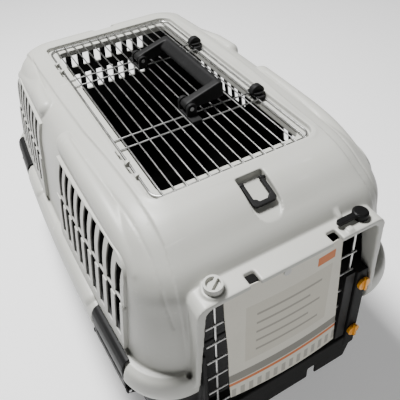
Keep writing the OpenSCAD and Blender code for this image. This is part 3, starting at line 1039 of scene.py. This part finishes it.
    def porch(self) -> Solid:
        """Hood that frames the doorway.

        Returns:
            The hood.
        """
        f = self.form
        points = []
        for s in (-1, 1):
            for x, z in arc((s * 109.0, f.shelf - 13), 13, 0, 360, 40):
                points += [(x, f.porch, z), (x, f.porch + 60, z)]
            points += [(s * 128.0, y, z) for y in (f.porch + 3, f.porch + 58) for z in (200.0, 204.0)]
        return Solid.hull(points)

    def doorway(self) -> Solid:
        """Opening in the porch.

        Returns:
            The cutter.
        """
        f = self.form
        points = []
        for s in (-1, 1):
            for x, z in arc((s * 103.0, f.shelf - 16), 9.5, 0, 360, 32):
                points += [(x, f.porch - 20, z), (x, f.porch + 70, z)]
            points += [(s * 123.0, y, z) for y in (f.porch - 20, f.porch + 70) for z in (90.0, 190.0)]
        return Solid.hull(points)

    def porch_trim(self) -> List[Solid]:
        """Cap boss and lever stops on the porch.

        Returns:
            Boss, rib and stop.
        """
        f = self.form
        boss = Solid.rod((-f.rod_x, f.door_y, f.shelf - 3), (-f.rod_x, f.door_y, f.shelf + 3.4), 13, 64)
        side = ((7, -2), (7, 3), (10, 3), (25, 15), (28, 15), (28, -2))
        rib = [(x, f.door_y + y, f.shelf + z) for x in (72, 78) for y, z in side]
        stop = Solid.boxes([((70, f.door_y - 12, f.shelf - 1), (77, f.door_y - 5, f.shelf + 2.6))])
        return [boss, Solid.hull(rib), stop]

    def pocket(self, grow: float, length: float, slope: float) -> Solid:
        """Tongue shaped pocket that points to the front.

        Args:
            grow: Growth.
            length: How far it reaches.
            slope: Fall of its floor in degrees.

        Returns:
            The pocket at the origin.
        """
        w = 18.0 + grow
        points = arc((0, 18 - length), w, 180, 360, 24) + [(w, grow), (-w, grow)]
        turn = Matrix.Rotation(math.radians(slope), 4, "X")
        tilt = Matrix.Translation((0, 0, self.form.roof - 9 - grow)) @ turn
        floor = Solid.boxes([((-60, -150, 0), (60, 150, 90))]).moved(tilt)
        return Solid.prism(points, 300, 420).combine(Join.KEEP, floor)

    def pockets(self, grow: float) -> List[Solid]:
        """Front and rear bail pockets.

        Args:
            grow: How far the form is grown.

        Returns:
            The two pockets.
        """
        f = self.form
        front = self.pocket(grow, 53, 19.6).moved(Matrix.Translation((0, f.front + 80, 0)))
        flip = Matrix.Translation((0, f.rear - 50, 0)) @ Matrix.Scale(-1.0, 4, (0.0, 1.0, 0.0))
        return [front, self.pocket(grow, 46, 24).moved(flip)]

    def slots(self) -> Solid:
        """All vent slots of the sides and the rear wall.

        Returns:
            One solid of many boxes.
        """
        spans = []
        for first, count, low in ((-218.5, 9, 0), (80.0, 7, 6)):
            for i in range(count):
                y = first + i * self.slot_pitch
                for s in (-1, 1):
                    x = s * (self.form.half - 28)
                    for z0, z1 in ((303.0, 347.0 if i == low else 354.5), (242.0, 299.5)):
                        spans.append(((x - 30, y - self.slot_w / 2, z0), (x + 30, y + self.slot_w / 2, z1)))
        for i in range(8):
            x = (i - 3.5) * 22
            for z0, z1 in ((309.0, 345.0), (252.0, 292.0)):
                spans.append(((x - 6, self.form.rear - 45, z0), (x + 6, self.form.rear + 15, z1)))
        return Solid.boxes(spans)

    def small_cuts(self) -> Solid:
        """Porch notches, lock pockets and hinge slots, which lie apart from each other.

        Returns:
            One solid of many boxes.
        """
        f = self.form
        spans = []
        for x in (-53.5, 53.5):
            spans.append(((x - 6.5, f.porch - 5, f.shelf - 15), (x + 6.5, f.porch + 15.5, f.shelf + 15)))
        x = f.hatch[0] / 2
        for y in f.button_places():
            spans.append(((x - 20, y - 14, f.roof - 10.5), (x + 4, y + 14, f.roof + 10)))
        for y in self.hook_slots:
            spans.append(((-x - 7, y - 9.75, f.roof - 20), (-x - 2.8, y + 9.75, f.roof + 20)))
        return Solid.boxes(spans)

    def catches(self) -> Solid:
        """Undercuts in the hatch rim that take the tongues of the turn buttons."""
        x, z, places = self.form.hatch[0] / 2, self.form.roof, self.form.button_places()
        return Solid.boxes([((x - 8, y - 14.3, z - 10.6), (x + 8.3, y + 14.3, z - 5.1)) for y in places])

    def round_holes(self) -> List[Solid]:
        """Rod, lever and tie holes.

        Returns:
            The cutters.
        """
        f = self.form
        holes = []
        for x, r in ((-f.rod_x, 2.2), (f.rod_x + 1, 3.8)):
            holes.append(Solid.rod((x, f.door_y, f.shelf - 20), (x, f.door_y, f.shelf + 20), r))
        for s in (-1, 1):
            for y in (f.front - 3, f.rear + 2.5):
                holes.append(Solid.rod((s * 131, y, f.belt + 25.5), (s * 131, y, f.belt + 60), 3.2))
        return holes

    def hook(self, y: float) -> Solid:
        """Hook that holds the hatch wire on the hinge side.

        Args:
            y: Place along the carrier.

        Returns:
            The hook.
        """
        f = self.form
        z, x = f.roof - 3.1, -f.hatch[0] / 2
        ring = arc((x, z), 4.7, 68, 292, 24) + arc((x, z), 2.0, 292, 68, 20)
        turn = Matrix(((1, 0, 0, 0), (0, 0, 1, 0), (0, 1, 0, 0), (0, 0, 0, 1)))
        return Solid.prism(ring, y - 2.5, y + 2.5).moved(turn)

    def mark_painted_shade(self, shell: Solid) -> None:
        """Stores on each point whether it lies on the inner skin, which the shell's finish paints with shade.

        Args:
            shell: The shell, still in millimetres.
        """
        f = self.form
        rooms = [s.tree() for s in (f.body(-f.wall, 150.0), *self.both(*self.hoods(-f.wall)))]
        skins = [s.tree() for s in self.tiers(-self.vent_wall)]
        wide, long = (size / 2 + self.rim for size in f.hatch)
        values = []
        for v in shell.mesh.vertices:
            x, y, z = abs(v.co.x), abs(v.co.y - f.hatch_y), v.co.z
            hatch = x < wide and y < long and z > f.roof - 16
            pocket = x < 34 and y >= 200 and z > f.roof - 45
            # Points on the inner skin get painted shade, except near the hatch and the rear bail pocket.
            dark = self.held(rooms, v.co) or any(t.find_nearest(v.co)[3] < self.vent_skin for t in skins)
            values.append(float(dark and not hatch and not pocket))
        shell.mesh.attributes.new("inside", "FLOAT", "POINT").data.foreach_set("value", values)

    def held(self, trees: Sequence[BVHTree], point: Vector) -> bool:
        """Tells whether a point lies in one of the rooms or on its skin."""
        found = (tree.find_nearest(point) for tree in trees)
        return any(away < self.skin or (point - near).dot(normal) < -0.05 for near, normal, _, away in found)


@dataclass
class LowerTray(Group):
    """The dark tray with its apron, posts, tongue and latch lugs."""

    def build(self) -> None:
        """Shapes the tray and hangs it on the base."""
        f = self.form
        tray = self.bowl(0.0, f.belt - 1, 3.0)
        tray.combine(Join.ADD, self.tongue(0.0), self.apron(0.0))
        tray.combine(Join.CUT, self.bowl(-f.wall, f.belt - 8, 7.0), self.tongue(-f.wall))
        throat = f.outline(f.half - 25.6, f.front + 10.4, f.rear - 12.4, 53)
        tray.combine(Join.CUT, Solid.prism(throat, f.belt - 4, f.belt + 56))
        room = Solid.boxes([((-150, f.porch - 10, 40), (150, f.porch + 18, f.sill - 6))])
        tray.combine(Join.CUT, self.apron(-f.wall).combine(Join.KEEP, room))
        gate = ((-112, f.porch - 20, f.sill), (100.5, f.porch + 60, f.sill + 200))
        notch = ((41, f.porch - 20, 40), (53, f.porch + 16, 82))
        tray.combine(Join.CUT, Solid.boxes([gate]), Solid.boxes([notch]))
        for lo, hi in self.posts() + [((-130, y - 3, 5), (130, y + 3, 10.5)) for y in (-150, -50, 50, 150)]:
            tray.combine(Join.ADD, Solid.boxes([(lo, hi)]))
        for place in f.latch_places():
            for y in (-46.4, 46.4):
                tray.combine(Join.ADD, self.lug(y).moved(place))
            tray.combine(Join.CUT, Solid.rod((0, -60, 0), (0, 60, 0), 2.25).moved(place))
        for x, z in f.knobs:
            tray.combine(Join.CUT, Solid.rod((x, f.porch - 3, z), (x, f.porch + 17, z), 3.6))
        x, y = -f.rod_x, f.door_y
        tray.combine(Join.CUT, Solid.rod((x, y, f.sill - 9), (x, y, f.sill + 11), 2.2))
        tray.softened(voxel=1.5, rounds=4, faces=44000)
        tray.placed("tray_moulding", "base", self.finish["tray"], "lower_tray")
        self.dress("rubber", "tray_feet")

    def bowl(self, g: float, top: float, bottom: float) -> Solid:
        """Outer form of the tray.

        Args:
            g: How far the form is grown.
            top: Height of the top.
            bottom: Height of the floor.

        Returns:
            The bowl.
        """
        rows = (
            (-50, bottom, 46, -48, 40),
            (-42, 14, 36, -40, 46),
            (-31, 60, 18, -24, 52),
            (-14, top, -1, 0, 60),
        )
        return self.form.loft(rows, g, 5)

    def tongue(self, g: float) -> Solid:
        """Tongue that stands inside the shell.

        Args:
            g: How far the form is grown.

        Returns:
            The tongue.
        """
        z = self.form.belt
        rows = ((-16, z - 14, 2, -2, 58), (-19.6, z - 3, 5.8, -6.6, 57), (-22.2, z + 34, 7, -9, 56))
        return self.form.loft(rows, g, 1)

    def apron(self, g: float) -> Solid:
        """Apron under the doorway.

        Args:
            g: How far the form is grown.

        Returns:
            The apron.
        """
        f = self.form
        points = []
        for s in (-1, 1):
            for y in (f.porch + 6 - g, f.porch + 46 + g):
                points += [(s * (118 + g), y, f.sill + g), (s * (118 + g), y, f.sill - 4 + g)]
                points.append((s * (105 + g), y, 62.0 + 2 * min(0.0, g)))
        return Solid.hull(points)

    def posts(self) -> List[Tuple[Point3, Point3]]:
        """Upright posts beside the doorway."""
        y, z = self.form.porch + 5, self.form.sill - 20
        return [((100.5, y, z), (117.5, y + 16, z + 156)), ((-117.5, y, z), (-112, y + 16, z + 156))]

    @staticmethod
    def lug(y: float) -> Solid:
        """Ear that carries a latch pin, at a place along the latch axis."""
        rim = arc((0, 0), 5, 0, 360, 32) + [(x, z) for x in (-14.5, -8.5) for z in (-12, 4.5)]
        return Solid.hull([(x, y + s * 2.6, z) for x, z in rim for s in (-1, 1)])


@dataclass
class RoofDoor(Group):
    """Wire roof door with its handle feet and turn locks."""

    def build(self) -> None:
        """Dresses the wires and rounds the fittings."""
        self.dress("wire", "roof_frame", "roof_bars", "roof_cross_wires")
        self.dress("steel", "handle_pins")
        for name in ("handle_foot_front", "handle_foot_rear", "lock_seat_front", "lock_seat_rear"):
            self.soften(name, "roof_door", "fitting", 0.4, 5000)
        self.soften("carry_handle", "handle", "fitting", 1.1, 10000, 20)
        for name in ("roof_lock_front", "roof_lock_rear"):
            self.soften(name, name, "fitting", 0.4, 7000, 5)


@dataclass
class FrontDoor(Group):
    """Wire front door with its card."""

    cells: Tuple[int, int] = (54, 66)
    bow: float = 4.6
    faces: Point2 = (0.8, 0.2)

    def build(self) -> None:
        """Dresses the wires and shapes the card."""
        self.dress("wire", "door_hinge_rod", "door_lock_rod", "door_uprights", "door_levels", "door_loop")
        self.soften("card_toggle", "front_door", "toggle", 0.4, 3000)
        self.soften("door_stile", "front_door", "fitting", 0.5, 4000)
        self.sheet().placed("card_sheet", "front_door", self.finish["card"], "insert_card")

    def sheet(self) -> Solid:
        """Bowed card that hangs a little askew, with soft waves towards its left edge.

        Returns:
            The card.
        """
        y0, low, high = self.form.door_y - 3.5, self.form.sill, self.form.roof - 59
        nx, nz = self.cells
        rings = []
        for k in range(nz + 1):
            v = k / nz
            left, right = -79 - 7 * v, 84 - 15 * v
            front, back = [], []
            for i in range(nx + 1):
                u = i / nx
                x = left + (right - left) * u
                z0 = low + 9 - 6 * u
                z = z0 + (high - z0) * v
                wave = math.sin(z * 0.045 + 1.0) * (1 - u) ** 3
                y = y0 - self.bow * (1 - (x / 84) ** 2) - 0.6 * wave
                for side, depth in zip((front, back), self.faces):
                    side.append((x - 0.9 * wave, y - depth, z))
            rings.append(front + back[::-1])
        return Solid.loft(rings)


@dataclass
class Fittings(Group):
    """Cap, lever, turn knobs, latches and bails."""

    disc: float = 9.0
    stem: float = 3.1
    wing: float = 1.9

    def build(self) -> None:
        """Rounds each fitting and gives it its finish."""
        self.dress("steel", "latch_pins")
        self.soften("hinge_cap", "hinge_cap", "cap", 0.35, 7000)
        self.soften("door_lever", "door_lever", "lever", 0.4, 7000, 5)
        for name, (x, z) in zip(("twist_lock_upper", "twist_lock_lower"), self.form.knobs):
            self.knob(x, z).softened(0.35, 4, 6000).placed(name + "_piece", name, self.finish["orange"], name)
        for end in ("front_left", "front_right", "rear_left", "rear_right"):
            self.soften("latch_" + end, "latch_" + end, "fitting", 0.7, 5000)
        for name in ("bail_front", "bail_rear"):
            self.soften(name, name, "fitting", 0.45, 5000, 12)

    def knob(self, x: float, z: float) -> Solid:
        """Round turn knob with a low wing across its face.

        Args:
            x: Place across the carrier.
            z: Height of its axis.

        Returns:
            The knob.
        """
        y, w = self.form.porch + 5, self.wing
        made = Solid.rod((x, y - 0.5, z), (x, y - 4.6, z), self.disc, 48)
        made.combine(Join.ADD, Solid.rod((x, y + 9.0, z), (x, y - 2.0, z), self.stem, 32))
        blade = Solid.boxes([((x - w, y - 7.6, z - 8.0), (x + w, y - 3.5, z + 12.0))])
        end = Solid.rod((x, y - 3.5, z + 12.0), (x, y - 7.6, z + 12.0), w, 24)
        return made.combine(Join.ADD, blade, end)


@dataclass
class Studio:
    """Camera, floor and lights."""

    eye: Point3 = (-0.251085, -0.569946, 0.777208)
    right: Point3 = (0.88237751, -0.46634205, -0.06272984)
    up: Point3 = (0.31244896, 0.48100457, 0.81915215)
    lens: float = 46.776
    sensor: float = 36.0
    shift: Point2 = (0.0514, -0.2183)
    surround: float = 0.05
    boxes: Tuple[Tuple[str, Point3, float, float], ...] = (
        ("overhead", (-0.3, 0.45, 2.08), 0.45, 106.0),
        ("front", (0.3, -1.5, 1.9), 0.7, 4.0),
    )
    aim: Point3 = (0.0, 0.0, 0.25)
    reach: float = 4000.0

    def build(self) -> None:
        """Sets up the whole studio."""
        self.camera()
        self.floor()
        self.lights()

    def camera(self) -> None:
        """Camera at the photograph's viewing angle."""
        data = bpy.data.cameras.new("camera")
        data.lens, data.sensor_width = self.lens, self.sensor
        data.shift_x, data.shift_y = self.shift
        data.clip_start = 0.01
        ob = linked("camera", data)
        x, y = Vector(self.right), Vector(self.up)
        turn = Matrix((x, y, x.cross(y))).transposed().to_4x4()
        ob.matrix_world = Matrix.Translation(self.eye) @ turn
        bpy.context.scene.camera = ob

    def floor(self) -> None:
        """Pale floor."""
        far = self.reach
        mesh = Solid.boxes([((-far, -far, -20), (far, far, -0.2))]).mesh
        mesh.transform(Matrix.Scale(MM, 4))
        mesh.materials.append(PaleFloor().make())
        ob = linked("floor", mesh)

    def lights(self) -> None:
        """Dim surround and two soft boxes, the larger one overhead."""
        world = bpy.data.worlds.new("surround")
        world.use_nodes = True
        back = world.node_tree.nodes["Background"]
        back.inputs["Color"].default_value = (1.0, 1.0, 1.0, 1.0)
        back.inputs["Strength"].default_value = self.surround
        bpy.context.scene.world = world
        for name, place, size, watts in self.boxes:
            data = bpy.data.lights.new(name, "AREA")
            data.shape, data.size, data.energy = "SQUARE", size, watts
            ob = linked(name, data)
            ob.location = place
            ob.rotation_euler = (Vector(self.aim) - Vector(place)).to_track_quat("-Z", "Y").to_euler()


def finishes() -> Dict[str, bpy.types.Material]:
    """Makes all finishes of the carrier.

    Returns:
        The materials by name.
    """
    # The shell's inside colour is painted shade: near black on the inner skin, for the shade inside the
    # closed carrier.
    shell = MouldedPlastic(
        "shell_grey", (0.455, 0.455, 0.42), (0.415, 0.415, 0.38), (0.55, 0.55, 0.52),
        roughness=0.42, grain=0.08, inside=(0.03, 0.03, 0.029),
    )
    made = {
        "shell": shell,
        "tray": MouldedPlastic(
            "tray_black", (0.010, 0.010, 0.010), (0.015, 0.015, 0.0145), (0.05, 0.05, 0.048),
            roughness=0.58, grain=0.14, dust=0.15, gloss=0.08,
        ),
        "fitting": MouldedPlastic(
            "fitting_black", (0.009, 0.009, 0.0092), (0.014, 0.014, 0.014), (0.05, 0.05, 0.05),
            roughness=0.50, grain=0.10, dust=0.12, gloss=0.11,
        ),
        "lever": MouldedPlastic(
            "lever_black", (0.004, 0.004, 0.004), (0.007, 0.007, 0.007), (0.03, 0.03, 0.03),
            roughness=0.40, grain=0.10, dust=0.05, gloss=0.10,
        ),
        "orange": MouldedPlastic(
            "lock_orange", (0.84, 0.36, 0.012), (0.76, 0.31, 0.010), (0.86, 0.50, 0.15),
            roughness=0.33, grain=0.05,
        ),
        "rubber": MouldedPlastic(
            "foot_rubber", (0.015, 0.015, 0.015), (0.022, 0.022, 0.022), (0.06, 0.06, 0.06),
            roughness=0.7, grain=0.2,
        ),
        # The cap keeps the shell's colour without the painted shade.
        "cap": replace(shell, name="cap_grey", inside=None),
        "toggle": MouldedPlastic(
            "toggle_plastic", (0.50, 0.50, 0.48), (0.44, 0.44, 0.42), (0.6, 0.6, 0.58),
            roughness=0.4, grain=0.06,
        ),
        "wire": PlatedWire("bright_wire"),
        "steel": PlatedWire("pin_steel", (0.5, 0.5, 0.51), (0.33, 0.33, 0.33), 0.34),
        "card": PrintedCard("card_paper"),
    }
    return {key: finish.make() for key, finish in made.items()}


def main() -> None:
    """Builds the carrier's looks around its frame."""
    logging.basicConfig(level=logging.INFO, format="%(name)s %(message)s")
    form, finish = CarrierForm(), finishes()
    Studio().build()
    for group in (UpperShell, LowerTray, RoofDoor, FrontDoor, Fittings):
        group(form, finish).build()
    bpy.context.view_layer.update()


if __name__ == "__main__":
    main()
